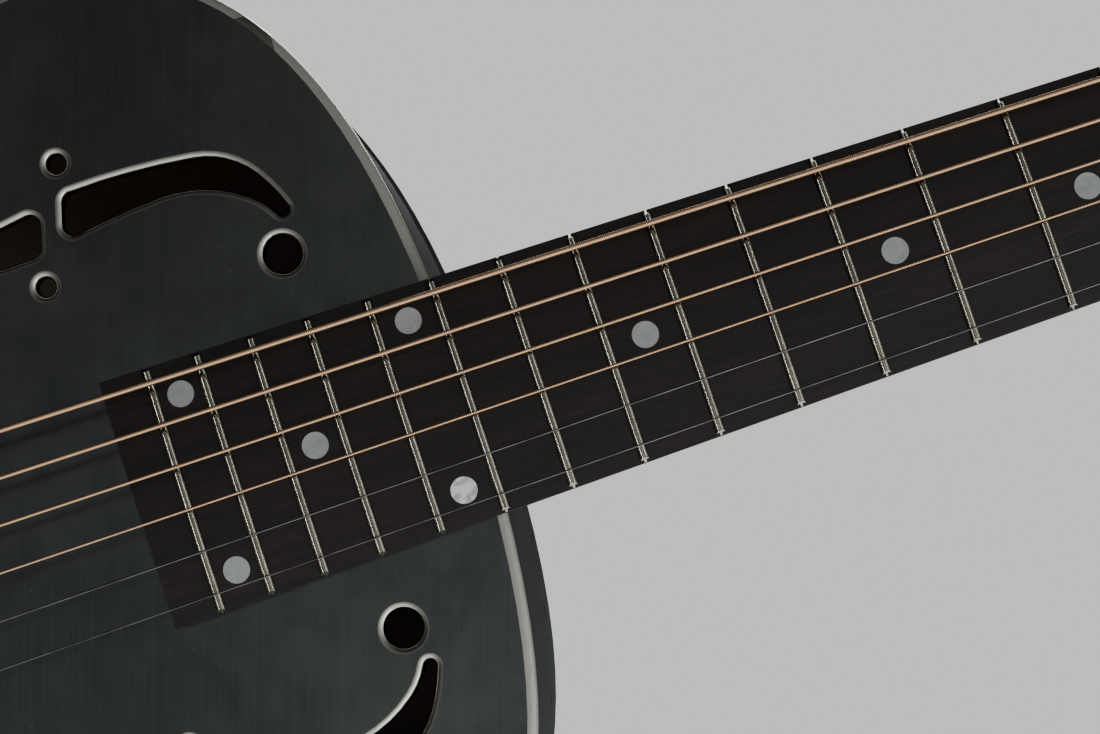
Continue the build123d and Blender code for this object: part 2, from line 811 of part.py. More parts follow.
with BuildPart() as neck:
    for y, depth in (
        (neck_start, neck_depth_heel),
        (180, (neck_depth_heel + neck_depth_nut) / 2),
        (nut_y + nut_thickness, neck_depth_nut),
    ):
        with BuildSketch(across(y)):
            with BuildLine():
                half = board_half(y)
                Line((-half, board_base), (half, board_base))
                EllipticalCenterArc((0, board_base), half, depth, start_angle=180, arc_size=180)
            make_face()
    loft()
    add(heel.part)
    with BuildSketch(head_plane):
        add(head_outline.sketch)
    extrude(amount=-head_thickness)
    # channel for the truss rod, open under the truss rod cover
    with BuildSketch(across(nut_y + nut_thickness + truss_pocket)):
        with Locations((0, truss_level)):
            Circle(truss_radius)
    extrude(amount=nut_y + truss_pocket, mode=Mode.SUBTRACT)
    with BuildSketch(head_plane):
        with Locations((0, truss_pocket / 2 + 0.5)):
            Rectangle(truss_pocket_width, truss_pocket)
    extrude(amount=-6.5, mode=Mode.SUBTRACT)
    with BuildSketch(head_plane):
        with Locations(*post_places):
            Circle(post_bore)
    extrude(amount=-head_thickness, mode=Mode.SUBTRACT)
    with BuildSketch(head_plane):
        with Locations(*post_places):
            Circle(bushing_radius)
    extrude(amount=-bushing_length, mode=Mode.SUBTRACT)
    with BuildSketch(head_plane.offset(-head_thickness)):
        with Locations(*plate_screw_places):
            Circle(plate_screw_radius)
    extrude(amount=plate_screw_length, mode=Mode.SUBTRACT)
    with BuildSketch(heel_button_plane):
        Circle(strap_screw_radius)
    extrude(amount=-heel_button_shank, mode=Mode.SUBTRACT)
keep(neck, "neck")

with BuildPart() as heel_strap_button:
    add(strap_button(heel_button_plane, heel_button_shank))
keep(heel_strap_button, "heel_strap_button")

# wedge that carries the end of the board over the top
shim_inset = 1.2
with BuildPart() as fingerboard_shim:
    with BuildSketch(level(body_depth)):
        with BuildLine():
            Polyline(
                (-board_half(board_end_y) + shim_inset, joint_z + board_end_y + 1.5),
                (board_half(board_end_y) - shim_inset, joint_z + board_end_y + 1.5),
                (board_half(0) - shim_inset, joint_z + 4),
                (-board_half(0) + shim_inset, joint_z + 4),
                close=True,
            )
        make_face()
        add(body_outline(rim_radius), mode=Mode.INTERSECT)
    extrude(amount=crown_height)
    # trimmed to the underside of the tilted board
    with BuildSketch(neck_plane.offset(board_base)):
        Rectangle(90, 2 * scale_length)
    extrude(amount=2 * crown_height, mode=Mode.SUBTRACT)
keep(fingerboard_shim, "fingerboard_shim")

with BuildPart() as truss_rod:
    with BuildSketch(across(nut_y + nut_thickness + 6)):
        with Locations((0, truss_level)):
            Circle(truss_radius)
    extrude(amount=nut_y + nut_thickness)
    with BuildSketch(across(nut_y + nut_thickness + 12)):
        with Locations((0, truss_level)):
            RegularPolygon(truss_radius + 0.6, 6)
    extrude(amount=6)
keep(truss_rod, "truss_rod")

with BuildPart() as headstock_overlay:
    with BuildSketch(head_plane):
        add(head_outline.sketch)
        with Locations((0, truss_pocket / 2 + 0.5)):
            Rectangle(truss_pocket_width, truss_pocket, mode=Mode.SUBTRACT)
        with Locations(*post_places):
            Circle(bushing_radius, mode=Mode.SUBTRACT)
        with Locations(*cover_screw_places):
            Circle(small_screw_radius, mode=Mode.SUBTRACT)
        with Locations((0, 0)):
            Rectangle(2 * head_foot_half, 1.0, mode=Mode.SUBTRACT)
    extrude(amount=overlay_thickness)
keep(headstock_overlay, "headstock_overlay")

with BuildPart() as truss_rod_cover:
    with BuildSketch(head_plane.offset(overlay_thickness)):
        with BuildLine():
            Polyline(*cover_plan, close=True)
        make_face()
        fillet(vertices(), radius=1.5)
        with Locations(*cover_screw_places):
            Circle(small_screw_radius, mode=Mode.SUBTRACT)
    extrude(amount=truss_cover_sheet)
keep(truss_rod_cover, "truss_rod_cover")

with BuildPart() as truss_cover_screws:
    with BuildSketch(head_plane.offset(overlay_thickness + truss_cover_sheet)):
        with Locations(*cover_screw_places):
            Circle(1.6)
    extrude(amount=0.9)
    with BuildSketch(head_plane.offset(overlay_thickness + truss_cover_sheet)):
        with Locations(*cover_screw_places):
            Circle(small_screw_radius)
    extrude(amount=-truss_cover_sheet - overlay_thickness)
keep(truss_cover_screws, "truss_cover_screws")

# ------------------------------------------------------------------ fingerboard, frets and dots
board_axis_level = board_top - board_radius
slot_floor = -4.4
dot_depth = 1.6
single_dots = [5, 7, 9, 12, 17]
paired_dots = [15, 19]
pair_reach = 0.72

board_axis = Axis(
    neck_plane.from_local_coords(Vector(0, 0, board_axis_level)), neck_plane.y_dir
)


def board_plan():
    """Outline of the tapered board in the neck plane."""
    with BuildSketch() as plan:
        with BuildLine():
            Polyline(
                (-board_half(board_end_y), board_end_y),
                (board_half(board_end_y), board_end_y),
                (board_half(nut_y), nut_y),
                (-board_half(nut_y), nut_y),
                close=True,
            )
        make_face()
    return plan.sketch


def mid_fret(number):
    """Middle of the space behind a fret, where its dot lies."""
    return (fret_y(number) + fret_y(number - 1)) / 2


dot_places = [(0, mid_fret(number)) for number in single_dots]
for number in paired_dots:
    reach = pair_reach * board_half(mid_fret(number))
    dot_places.extend([(-reach, mid_fret(number)), (reach, mid_fret(number))])

with BuildPart() as crown_cylinder:
    with BuildSketch(across(nut_y)):
        with Locations((0, board_axis_level)):
            Circle(board_radius)
    extrude(amount=nut_y - board_end_y)

side_dot_radius = 1.0
side_dot_level = -4.2
side_dot_places = [(mid_fret(number), side_dot_level) for number in single_dots if number != 12]
for number in (12, 15, 19):
    middle = mid_fret(number)
    side_dot_places.extend([(middle - 2.2, side_dot_level), (middle + 2.2, side_dot_level)])

with BuildPart() as fret_dots:
    with BuildSketch(neck_plane.offset(board_top - dot_depth)):
        with Locations(*dot_places):
            Circle(dot_radius)
    extrude(amount=dot_depth)
    add(crown_cylinder.part, mode=Mode.INTERSECT)
keep(fret_dots, "fret_dots")

with BuildPart() as side_dots:
    with BuildSketch(side_plane.offset(-board_half(board_end_y))):
        with Locations(*side_dot_places):
            Circle(side_dot_radius)
    extrude(amount=board_half(board_end_y) - board_half(nut_y) + 2.2)
    with BuildSketch(neck_plane.offset(board_base)):
        add(board_plan())
    extrude(amount=board_thickness, mode=Mode.INTERSECT)
keep(side_dots, "side_dots")

with BuildPart() as fingerboard:
    with BuildSketch(neck_plane.offset(board_base)):
        add(board_plan())
    extrude(amount=board_thickness)
    add(crown_cylinder.part, mode=Mode.INTERSECT)
    with BuildSketch(side_plane):
        for number in range(1, fret_count + 1):
            with Locations((fret_y(number), (board_top + slot_floor) / 2)):
                Rectangle(fret_tang, board_top - slot_floor)
    extrude(amount=board_half(board_end_y) + 5, both=True, mode=Mode.SUBTRACT)
    add(fret_dots.part, mode=Mode.SUBTRACT)
    add(side_dots.part, mode=Mode.SUBTRACT)
keep(fingerboard, "fingerboard")


def fret_section_plane(y, swing):
    """Plane through the board's curvature axis, swung sideways by an angle in degrees."""
    ahead = neck_plane.y_dir
    outwards = neck_plane.z_dir * cos(radians(swing)) + neck_plane.x_dir * sin(radians(swing))
    point = neck_plane.from_local_coords(Vector(0, y, board_axis_level))
    return Plane(origin=point, x_dir=ahead, z_dir=ahead.cross(outwards))


with BuildPart() as frets:
    for number in range(1, fret_count + 1):
        swing = degrees(asin((board_half(fret_y(number)) - 0.05) / board_radius))
        with BuildSketch(fret_section_plane(fret_y(number), -swing)):
            with BuildLine():
                ThreePointArc(
                    (-fret_width / 2, board_radius),
                    (0, board_radius + fret_height),
                    (fret_width / 2, board_radius),
                )
                Polyline(
                    (fret_width / 2, board_radius),
                    (fret_tang / 2, board_radius),
                    (fret_tang / 2, board_radius - fret_tang_depth),
                    (-fret_tang / 2, board_radius - fret_tang_depth),
                    (-fret_tang / 2, board_radius),
                    (-fret_width / 2, board_radius),
                )
            make_face()
        revolve(axis=board_axis, revolution_arc=2 * swing)
    # bevelled fret ends
    with BuildSketch(neck_plane.offset(board_top - 2.0)):
        add(board_plan())
    extrude(amount=3.6, taper=28, mode=Mode.INTERSECT)
keep(frets, "frets")

with BuildPart() as nut:
    with BuildSketch(neck_plane.offset(board_base)):
        with Locations((0, nut_y + nut_thickness / 2)):
            Rectangle(2 * nut_half, nut_thickness)
    extrude(amount=nut_string_height + 0.7 - board_base)
    fillet(nut.faces().sort_by(Axis(neck_plane.origin, neck_plane.z_dir))[-1].edges(), radius=0.8)
    for number, diameter in enumerate(string_diameters, start=1):
        with BuildSketch(neck_plane.offset(nut_string_height - 0.02)):
            with Locations((string_x(number, nut_string_spacing), nut_y + nut_thickness / 2)):
                Rectangle(diameter + 0.2, 2 * nut_thickness)
        extrude(amount=4, mode=Mode.SUBTRACT)
keep(nut, "nut")

# ------------------------------------------------------------------ tuners
plate_sheet = 1.2
plate_face = -head_thickness - plate_sheet
plate_size = (21, 106)
plate_middle = 75.2
worm_level = -20.2
worm_core = 2.0
worm_crest = 3.7
worm_turns = 3
thread_at_pitch = 0.9
thread_slope = 0.364
shaft_radius = 1.6
lug_near = 4.7
lug_thickness = 2.2
lug_half = 3.5
gear_width = 2.4
gear_top = worm_level + gear_width / 2
gear_root = 4.75
gear_tip = gear_radius + 0.75
tooth_at_pitch = 1.1
tooth_slope = 0.404
square_shank = 3.4
post_collar = 4.2
post_top = string_level + 5.8
waist_reach = 3.0
post_rivet = 2.8
string_hole = 0.9
button_start = 17.5
button_length = 16.0
button_half_width = 9.5
button_half_thickness = 3.8
shaft_end = 29.0


def thread_half(radius):
    """Half the worm thread's width at a radius."""
    return thread_at_pitch / 2 - (radius - worm_radius) * thread_slope


def tooth_half(radius):
    """Half a gear tooth's width at a radius."""
    return tooth_at_pitch / 2 - (radius - gear_radius) * tooth_slope


# right-hand worm thread round the Z axis, with a gap between two crests at its middle
thread_root = worm_core - 0.15
with BuildPart() as worm_thread:
    with BuildLine(Plane.XY.offset(-worm_turns * worm_pitch / 2)):
        Helix(worm_pitch, worm_turns * worm_pitch, worm_radius)
    with BuildSketch(Plane.XZ):
        with BuildLine():
            start = -worm_turns * worm_pitch / 2
            Polyline(
                (thread_root, start - thread_half(thread_root)),
                (worm_crest, start - thread_half(worm_crest)),
                (worm_crest, start + thread_half(worm_crest)),
                (thread_root, start + thread_half(thread_root)),
                close=True,
            )
        make_face()
    sweep(is_frenet=True)


def worm_shaft_solid(side):
    """Worm shaft along Z, with its button end on the given side of the worm."""
    collar = lug_near + lug_thickness + 0.2
    steps = [
        (0, -collar - 1.1),
        (2.4, -collar - 1.1),
        (2.4, -collar),
        (shaft_radius, -collar),
        (shaft_radius, -lug_near + 0.2),
        (worm_core, -lug_near + 0.2),
        (worm_core, lug_near - 0.2),
        (shaft_radius, lug_near - 0.2),
        (shaft_radius, collar),
        (2.6, collar),
        (2.6, collar + 1.2),
        (worm_core, collar + 1.2),
        (worm_core, shaft_end),
        (0, shaft_end),
    ]
    with BuildPart() as shaft:
        with BuildSketch(Plane.XZ):
            with BuildLine():
                Polyline(*[(radius, side * height) for radius, height in steps], close=True)
            make_face()
        revolve(axis=Axis.Z)
        add(worm_thread.part)
    return shaft.part


def button_solid(side):
    """Oval button round the Z axis, bored for the shaft."""
    middle = side * (button_start + button_length / 2)
    with BuildPart() as button:
        with BuildSketch(Plane.XZ):
            with Locations((0, middle)):
                Ellipse(button_half_width, button_length / 2)
        extrude(amount=button_half_thickness, both=True)
        fillet(button.edges(), radius=2.6)
        with BuildSketch(Plane.XY):
            Circle(worm_core)
        extrude(amount=side * shaft_end, mode=Mode.SUBTRACT)
    return button.part


shaft_solids = {side: worm_shaft_solid(side) for side in (-1, 1)}
button_solids = {side: button_solid(side) for side in (-1, 1)}


def worm_frame(number, turn=0):
    """Frame on a worm's axis: local z points to the treble side, local x to the gear."""
    x, y = post_place(number)
    centre = head_plane.from_local_coords(Vector(x, y + worm_offset, worm_level))
    swing = radians(turn)
    to_gear = -head_plane.y_dir * cos(swing) - head_plane.z_dir * sin(swing)
    return Plane(origin=centre, x_dir=to_gear, z_dir=(1, 0, 0)).location


button_turn_step = 50
for number in range(1, string_count + 1):
    x, y = post_place(number)
    side = 1 if x > 0 else -1
    with BuildPart() as worm_shaft:
        add(shaft_solids[side].moved(worm_frame(number)))
    keep(worm_shaft, f"worm_shaft_{number}")

    with BuildPart() as tuner_button:
        add(button_solids[side].moved(worm_frame(number, button_turn_step * number)))
    keep(tuner_button, f"tuner_button_{number}")

    with BuildPart() as tuner_gear:
        with BuildSketch(head_plane.offset(gear_top)):
            with Locations((x, y)):
                Circle(gear_root)
            with Locations((x, y)):
                with PolarLocations(0, gear_teeth, start_angle=90):
                    Polygon(
                        (gear_root - 0.6, -tooth_half(gear_root)),
                        (gear_root, -tooth_half(gear_root)),
                        (gear_tip, -tooth_half(gear_tip)),
                        (gear_tip, tooth_half(gear_tip)),
                        (gear_root, tooth_half(gear_root)),
                        (gear_root - 0.6, tooth_half(gear_root)),
                        align=None,
                    )
            with Locations((x, y)):
                Rectangle(square_shank, square_shank, mode=Mode.SUBTRACT)
        extrude(amount=-gear_width)
    keep(tuner_gear, f"tuner_gear_{number}")

    post_section = Plane(
        origin=head_plane.from_local_coords(Vector(x, y, 0)),
        x_dir=(1, 0, 0),
        z_dir=-head_plane.y_dir,
    )
    with BuildPart() as string_post:
        with BuildSketch(post_section):
            with BuildLine():
                Polyline(
                    (0, gear_top),
                    (post_collar, gear_top),
                    (post_collar, plate_face - 0.2),
                    (post_radius, plate_face - 0.2),
                    (post_radius, string_level - waist_reach),
                )
                ThreePointArc(
                    (post_radius, string_level - waist_reach),
                    (post_waist, string_level),
                    (post_radius, string_level + waist_reach),
                )
                Polyline(
                    (post_radius, string_level + waist_reach),
                    (post_radius, post_top - 0.8),
                    (post_radius - 0.8, post_top),
                    (0, post_top),
                    (0, gear_top),
                )
            make_face()
        revolve(axis=Axis(post_section.origin, head_plane.z_dir))
        with BuildSketch(head_plane.offset(gear_top)):
            with Locations((x, y)):
                Rectangle(square_shank, square_shank)
        extrude(amount=-gear_width)
        with BuildSketch(head_plane.offset(gear_top - gear_width)):
            with Locations((x, y)):
                Circle(post_rivet)
        extrude(amount=-0.9)
        # string hole
        with BuildSketch(post_section.offset(-post_radius - 1)):
            with Locations((0, string_level)):
                Circle(string_hole)
        extrude(amount=2 * post_radius + 2, mode=Mode.SUBTRACT)
    keep(string_post, f"string_post_{number}")

for side, node in ((-1, "tuner_plate_bass"), (1, "tuner_plate_treble")):
    with BuildPart() as tuner_plate:
        with BuildSketch(head_plane.offset(-head_thickness)):
            with Locations((side * post_x, plate_middle)):
                RectangleRounded(*plate_size, 6)
            with Locations(*[(side * post_x, y) for y in post_ys]):
                Circle(post_radius + running_gap, mode=Mode.SUBTRACT)
            with Locations(*[(side * post_x, y) for y in plate_screw_ys]):
                Circle(plate_screw_radius, mode=Mode.SUBTRACT)
        extrude(amount=-plate_sheet)
        for y in post_ys:
            for end in (-1, 1):
                near = side * post_x + end * lug_near
                lug_plane = Plane(
                    origin=head_plane.from_local_coords(Vector(near, y + worm_offset, 0)),
                    x_dir=head_plane.y_dir,
                    z_dir=(1, 0, 0),
                )
                with BuildSketch(lug_plane):
                    with Locations((0, (plate_face + 0.2 + worm_level) / 2)):
                        Rectangle(2 * lug_half, plate_face + 0.2 - worm_level)
                    with Locations((0, worm_level)):
                        Circle(lug_half)
                        Circle(shaft_radius + running_gap, mode=Mode.SUBTRACT)
                extrude(amount=end * lug_thickness)
    keep(tuner_plate, node)

with BuildPart() as tuner_plate_screws:
    with BuildSketch(head_plane.offset(plate_face)):
        with Locations(*plate_screw_places):
            Circle(plate_screw_head)
    extrude(amount=-1.4)
    fillet(
        tuner_plate_screws.faces()
        .group_by(Axis(head_plane.origin, head_plane.z_dir))[0]
        .edges(),
        radius=1.0,
    )
    with BuildSketch(head_plane.offset(plate_face)):
        with Locations(*plate_screw_places):
            Circle(plate_screw_radius)
    extrude(amount=plate_screw_length)
keep(tuner_plate_screws, "tuner_plate_screws")

with BuildPart() as post_bushings:
    with BuildSketch(head_plane.offset(-bushing_length)):
        with Locations(*post_places):
            Circle(bushing_radius)
            Circle(post_radius + running_gap, mode=Mode.SUBTRACT)
    extrude(amount=bushing_length + overlay_thickness)
    with BuildSketch(head_plane.offset(overlay_thickness)):
        with Locations(*post_places):
            Circle(bushing_radius + bushing_rim)
            Circle(post_radius + running_gap, mode=Mode.SUBTRACT)
    extrude(amount=bushing_rim_height)
keep(post_bushings, "post_bushings")

# ------------------------------------------------------------------ strings
def string_points(number):
    """Ball, saddle, nut and post points on a string's centre line."""
    radius = string_diameters[number - 1] / 2
    x, y = post_place(number)
    side = 1 if x > 0 else -1
    tangent_x = x - side * (post_waist + radius + 0.06)
    return [
        Vector(string_x(number, tail_string_spacing), -ball_level, ball_z),
        Vector(string_x(number, saddle_string_spacing), -saddle_level - radius, string_bend_z),
        neck_plane.from_local_coords(
            Vector(
                string_x(number, nut_string_spacing),
                nut_y + nut_thickness + 0.1,
                nut_string_height + radius,
            )
        ),
        head_plane.from_local_coords(Vector(tangent_x, y, string_level)),
    ]


def string_solid(number):
    """One string from its ball end to its post."""
    points = string_points(number)
    with BuildPart() as string:
        with BuildLine():
            Polyline(*points)
        with BuildSketch(Plane(origin=points[0], z_dir=points[1] - points[0])):
            Circle(string_diameters[number - 1] / 2)
        sweep(transition=Transition.RIGHT)
        with BuildSketch(Plane(origin=points[0], z_dir=(1, 0, 0))):
            Circle(ball_radius)
        extrude(amount=ball_half_length, both=True)
    return string.part


with BuildPart() as plain_strings:
    for number in (1, 2):
        add(string_solid(number))
keep(plain_strings, "plain_strings")

with BuildPart() as wound_strings:
    for number in (3, 4, 5, 6):
        add(string_solid(number))
keep(wound_strings, "wound_strings")
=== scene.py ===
import json
from math import cos, radians, sin, tau

import bpy
from mathutils import Matrix, Vector


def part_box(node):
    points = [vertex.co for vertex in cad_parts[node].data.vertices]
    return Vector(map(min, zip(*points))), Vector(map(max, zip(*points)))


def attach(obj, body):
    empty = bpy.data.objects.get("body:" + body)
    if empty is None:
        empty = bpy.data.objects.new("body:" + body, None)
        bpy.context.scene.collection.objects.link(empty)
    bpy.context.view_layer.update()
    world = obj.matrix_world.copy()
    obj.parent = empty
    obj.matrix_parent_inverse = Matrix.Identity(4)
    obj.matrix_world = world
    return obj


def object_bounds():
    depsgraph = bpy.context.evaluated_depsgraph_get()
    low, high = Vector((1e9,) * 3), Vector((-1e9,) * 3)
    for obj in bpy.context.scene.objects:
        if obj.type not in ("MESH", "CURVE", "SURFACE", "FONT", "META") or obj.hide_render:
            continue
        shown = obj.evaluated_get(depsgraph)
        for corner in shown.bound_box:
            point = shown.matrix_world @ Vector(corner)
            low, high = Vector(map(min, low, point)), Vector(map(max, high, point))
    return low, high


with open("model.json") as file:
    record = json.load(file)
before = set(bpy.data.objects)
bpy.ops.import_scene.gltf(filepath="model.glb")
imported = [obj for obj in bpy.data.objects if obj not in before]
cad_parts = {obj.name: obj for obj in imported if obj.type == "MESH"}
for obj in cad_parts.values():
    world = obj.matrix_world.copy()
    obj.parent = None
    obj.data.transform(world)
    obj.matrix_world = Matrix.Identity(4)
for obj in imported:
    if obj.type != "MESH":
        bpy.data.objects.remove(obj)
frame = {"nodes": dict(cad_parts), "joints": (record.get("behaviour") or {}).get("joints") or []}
cad_low, cad_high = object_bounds()
nodes = frame["nodes"]

# ------------------------------------------------------------------ places taken from the frame
MM = 0.001
face_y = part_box("top_plate")[0].y
body_end_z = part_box("top_plate")[1].z
neck_lean = radians(1.0)
crown_height = 8.0 * MM
joint_inset = 0.5 * MM
along_neck = Vector((0, sin(neck_lean), cos(neck_lean)))
out_of_board = Vector((0, -cos(neck_lean), sin(neck_lean)))
to_treble = Vector((1, 0, 0))
board_joint = Vector((0, face_y - crown_height, body_end_z - joint_inset))
string_radius = {1: 0.165, 2: 0.215, 3: 0.33, 4: 0.445, 5: 0.57, 6: 0.71}
first_wound = 3


# ------------------------------------------------------------------ shader building
class Shader:
    """One procedural material. Values and sockets can be given for any input."""

    def __init__(self, name):
        self.material = bpy.data.materials.new(name)
        self.material.use_nodes = True
        self.tree = self.material.node_tree
        self.surface = self.tree.nodes["Principled BSDF"]
        self.place = self.add("ShaderNodeTexCoord").outputs["Object"]

    def add(self, kind, inputs=None, **settings):
        node = self.tree.nodes.new(kind)
        for key, value in settings.items():
            setattr(node, key, value)
        for key, value in (inputs or {}).items():
            self.wire(node.inputs[key], value)
        return node

    def wire(self, socket, value):
        if isinstance(value, bpy.types.NodeSocket):
            self.tree.links.new(value, socket)
        elif socket.type == "RGBA":
            socket.default_value = (*value, 1.0)
        else:
            socket.default_value = value

    def finish(self, **inputs):
        """Sets the surface's inputs; an underscore in a name stands for a space."""
        for key, value in inputs.items():
            self.wire(self.surface.inputs[key.replace("_", " ")], value)
        return self.material

    def math(self, operation, first, second=0.0, third=0.0, clamp=False):
        values = {0: first, 1: second, 2: third}
        return self.add("ShaderNodeMath", values, operation=operation, use_clamp=clamp).outputs[0]

    def split(self, vector):
        """The three parts of a vector."""
        return self.add("ShaderNodeSeparateXYZ", {0: vector}).outputs

    def join(self, x, y, z):
        return self.add("ShaderNodeCombineXYZ", {0: x, 1: y, 2: z}).outputs[0]

    def stretched(self, x, y, z, turn=(0, 0, 0)):
        """Object coordinates in millimetres times a factor on each axis, after a turn in degrees."""
        turned = self.place
        if any(turn):
            angles = tuple(radians(angle) for angle in turn)
            turned = self.add("ShaderNodeMapping", {"Vector": turned, "Rotation": angles}).outputs[0]
        scale = (x / MM, y / MM, z / MM)
        return self.add("ShaderNodeMapping", {"Vector": turned, "Scale": scale}).outputs[0]

    def noise(self, vector, detail=2.0, roughness=0.5, distortion=0.0):
        inputs = {
            "Vector": vector,
            "Scale": 1.0,
            "Detail": detail,
            "Roughness": roughness,
            "Distortion": distortion,
        }
        return self.add("ShaderNodeTexNoise", inputs).outputs["Fac"]

    def between(self, value, low, high, at_low=0.0, at_high=1.0):
        """Value scaled from one range to another and held inside it."""
        inputs = {"Value": value, 1: low, 2: high, 3: at_low, 4: at_high}
        return self.add("ShaderNodeMapRange", inputs, interpolation_type="SMOOTHSTEP").outputs[0]

    def mix(self, factor, first, second):
        node = self.add("ShaderNodeMix", data_type="RGBA")
        for index, value in ((0, factor), (6, first), (7, second)):
            self.wire(node.inputs[index], value)
        return node.outputs[2]

    def bump(self, height, distance, strength=1.0, under=None):
        """Surface relief; distance is in millimetres for a height of one."""
        inputs = {"Height": height, "Distance": distance * MM, "Strength": strength}
        if under is not None:
            inputs["Normal"] = under
        return self.add("ShaderNodeBump", inputs).outputs[0]

    def object_normal(self):
        geometry = self.add("ShaderNodeNewGeometry").outputs["Normal"]
        turn = {"Vector": geometry}
        settings = {"vector_type": "NORMAL", "convert_from": "WORLD", "convert_to": "OBJECT"}
        return self.add("ShaderNodeVectorTransform", turn, **settings).outputs[0]


# ------------------------------------------------------------------ metals
brush_angle = 18.6
coarse_angle = brush_angle + 9
back_inside_depth = 1.6


def polish(shader, run):
    """Fine and coarser polishing lines, and their direction: across, around the sides or spun."""
    if run == "across":
        fine = shader.stretched(0.02, 1.8, 3.0, turn=(0, -brush_angle, 0))
        coarse = shader.stretched(0.06, 1.0, 0.9, turn=(0, -coarse_angle, 0))
        swing = radians(brush_angle)
        along = (cos(swing), 0.0, -sin(swing))
        return shader.noise(fine, 3.0, 0.7), shader.noise(coarse, 3.0, 0.7), along
    if run == "around":
        fine = shader.stretched(0.012, 2.2, 0.012)
        coarse = shader.stretched(0.03, 0.9, 0.03)
        normal = shader.add("ShaderNodeNewGeometry").outputs["Normal"]
        along = shader.add("ShaderNodeVectorMath", {0: normal, 1: (0, 1, 0)}, operation="CROSS_PRODUCT")
        return shader.noise(fine, 3.0, 0.7), shader.noise(coarse, 3.0, 0.7), along.outputs[0]
    x, _, z = shader.split(shader.stretched(1, 1, 1))[0:3]
    squares = shader.math("MULTIPLY_ADD", x, x, shader.math("MULTIPLY", z, z))
    radius = shader.math("SQRT", squares)
    angle = shader.math("ARCTAN2", z, x)
    fine = shader.join(shader.math("MULTIPLY", radius, 2.4), shader.math("MULTIPLY", angle, 0.9), 0.0)
    coarse = shader.join(shader.math("MULTIPLY", radius, 0.35), shader.math("MULTIPLY", angle, 1.6), 3.0)
    along = shader.join(z, 0.0, shader.math("MULTIPLY", x, -1.0))
    return shader.noise(fine, 3.0, 0.7), shader.noise(coarse, 3.0, 0.6), along


def aged_metal(
    name,
    run,
    dark,
    light,
    bare_metal_and_highlight,
    roughness=0.36,
    grip=0.3,
    inside=0,
    hole_zone=None,
    bare_from=(0.9997, 0.994),
):
    """Nickel plate gone dark: polishing lines, cloudy patina, pin-head specks, and pale edges: bare worn
    metal with a painted highlight.

    inside is the sign, along Y, of the surfaces that face into the body, which are rust brown.
    hole_zone is the half width, low end and high end, in millimetres, of the part of the top whose
    rolled edges belong to sound holes; the rolled rim outside it is painted paler and less shiny, an
    evenly lit band of painted light over the wear.
    bare_from is how nearly along Y a surface must face to keep its patina, and to take the pale edge
    colour in full, worn metal and painted highlight.
    """
    shader = Shader(name)
    lines, coarse_lines, along = polish(shader, run)
    clouds = shader.noise(shader.stretched(0.02, 0.02, 0.02), 5.0, 0.62, 0.6)
    stains = shader.noise(shader.stretched(0.11, 0.11, 0.11), 4.0, 0.6)
    patina = shader.math("MULTIPLY_ADD", clouds, 0.7, shader.math("MULTIPLY", stains, 0.3))
    patina = shader.between(patina, 0.36, 0.64)
    colour = shader.mix(patina, dark, light)
    streak = shader.between(lines, 0.4, 0.75)
    lighter = tuple(1.4 * part for part in light)
    colour = shader.mix(shader.math("MULTIPLY", streak, 0.22), colour, lighter)
    # pin-head specks where the plate is nicked
    cells = shader.add(
        "ShaderNodeTexVoronoi", {"Vector": shader.stretched(0.19, 0.19, 0.19), "Scale": 1.0}
    )
    near = shader.between(cells.outputs["Distance"], 0.02, 0.055, 1.0, 0.0)
    chance = shader.math("GREATER_THAN", shader.split(cells.outputs["Color"])[0], 0.74)
    speck = shader.math("MULTIPLY", near, chance)
    colour = shader.mix(shader.math("MULTIPLY", speck, 0.55), colour, bare_metal_and_highlight)
    # worn edges and painted highlight: wherever the sheet curls away from the face it turns pale
    facing = shader.split(shader.object_normal())[1]
    tilt = shader.math("ABSOLUTE", facing)
    curl = shader.math(
        "MULTIPLY", shader.between(tilt, *bare_from), shader.between(tilt, 0.02, 0.1)
    )
    x, y, z = shader.split(shader.stretched(1, 1, 1))[0:3]
    rim = curl
    if hole_zone:
        beside = shader.math("GREATER_THAN", shader.math("ABSOLUTE", x), hole_zone[0])
        under = shader.math("LESS_THAN", z, hole_zone[1])
        over = shader.math("GREATER_THAN", z, hole_zone[2])
        outer = shader.math("MAXIMUM", beside, shader.math("MAXIMUM", under, over))
        rim = shader.math("MULTIPLY", curl, outer)
    wear = shader.noise(shader.stretched(0.3, 0.3, 0.3), 4.0, 0.65)
    # painted highlight mixed with real wear: the curled edges take the pale edge colour
    bare = shader.math("MULTIPLY", curl, shader.between(wear, 0.25, 0.5, 0.8, 1.0))
    colour = shader.mix(bare, colour, bare_metal_and_highlight)
    # painted light: outside the sound holes the rolled rim is painted as a paler, evenly lit band, less
    # metallic and rougher
    colour = shader.mix(rim, colour, tuple(0.85 * part for part in bare_metal_and_highlight))
    hidden = shader.between(shader.math("MULTIPLY", facing, inside), 0.6, 0.9)
    if inside < 0:
        within = shader.math("GREATER_THAN", y, -back_inside_depth)
        hidden = shader.math("MULTIPLY", hidden, within)
    rust = shader.mix(clouds, (0.1, 0.06, 0.045), (0.26, 0.16, 0.12))
    colour = shader.mix(hidden, colour, rust)
    metallic = shader.math("MULTIPLY_ADD", rim, -0.6, 1.0)
    metallic = shader.math("MULTIPLY_ADD", hidden, -0.9, metallic, clamp=True)
    rough = shader.math("MULTIPLY_ADD", lines, 0.12, roughness - 0.06)
    rough = shader.math("MULTIPLY_ADD", patina, -0.07, rough)
    rough = shader.math("MULTIPLY_ADD", curl, -0.08, rough)
    rough = shader.math("MULTIPLY_ADD", rim, 0.1, rough)
    relief = shader.math("MULTIPLY_ADD", coarse_lines, 0.3, lines)
    relief = shader.math("MULTIPLY_ADD", speck, -0.5, relief)
    return shader.finish(
        Base_Color=colour,
        Metallic=metallic,
        Roughness=rough,
        Normal=shader.bump(relief, 0.0011),
        Anisotropic=grip,
        Tangent=along,
    )


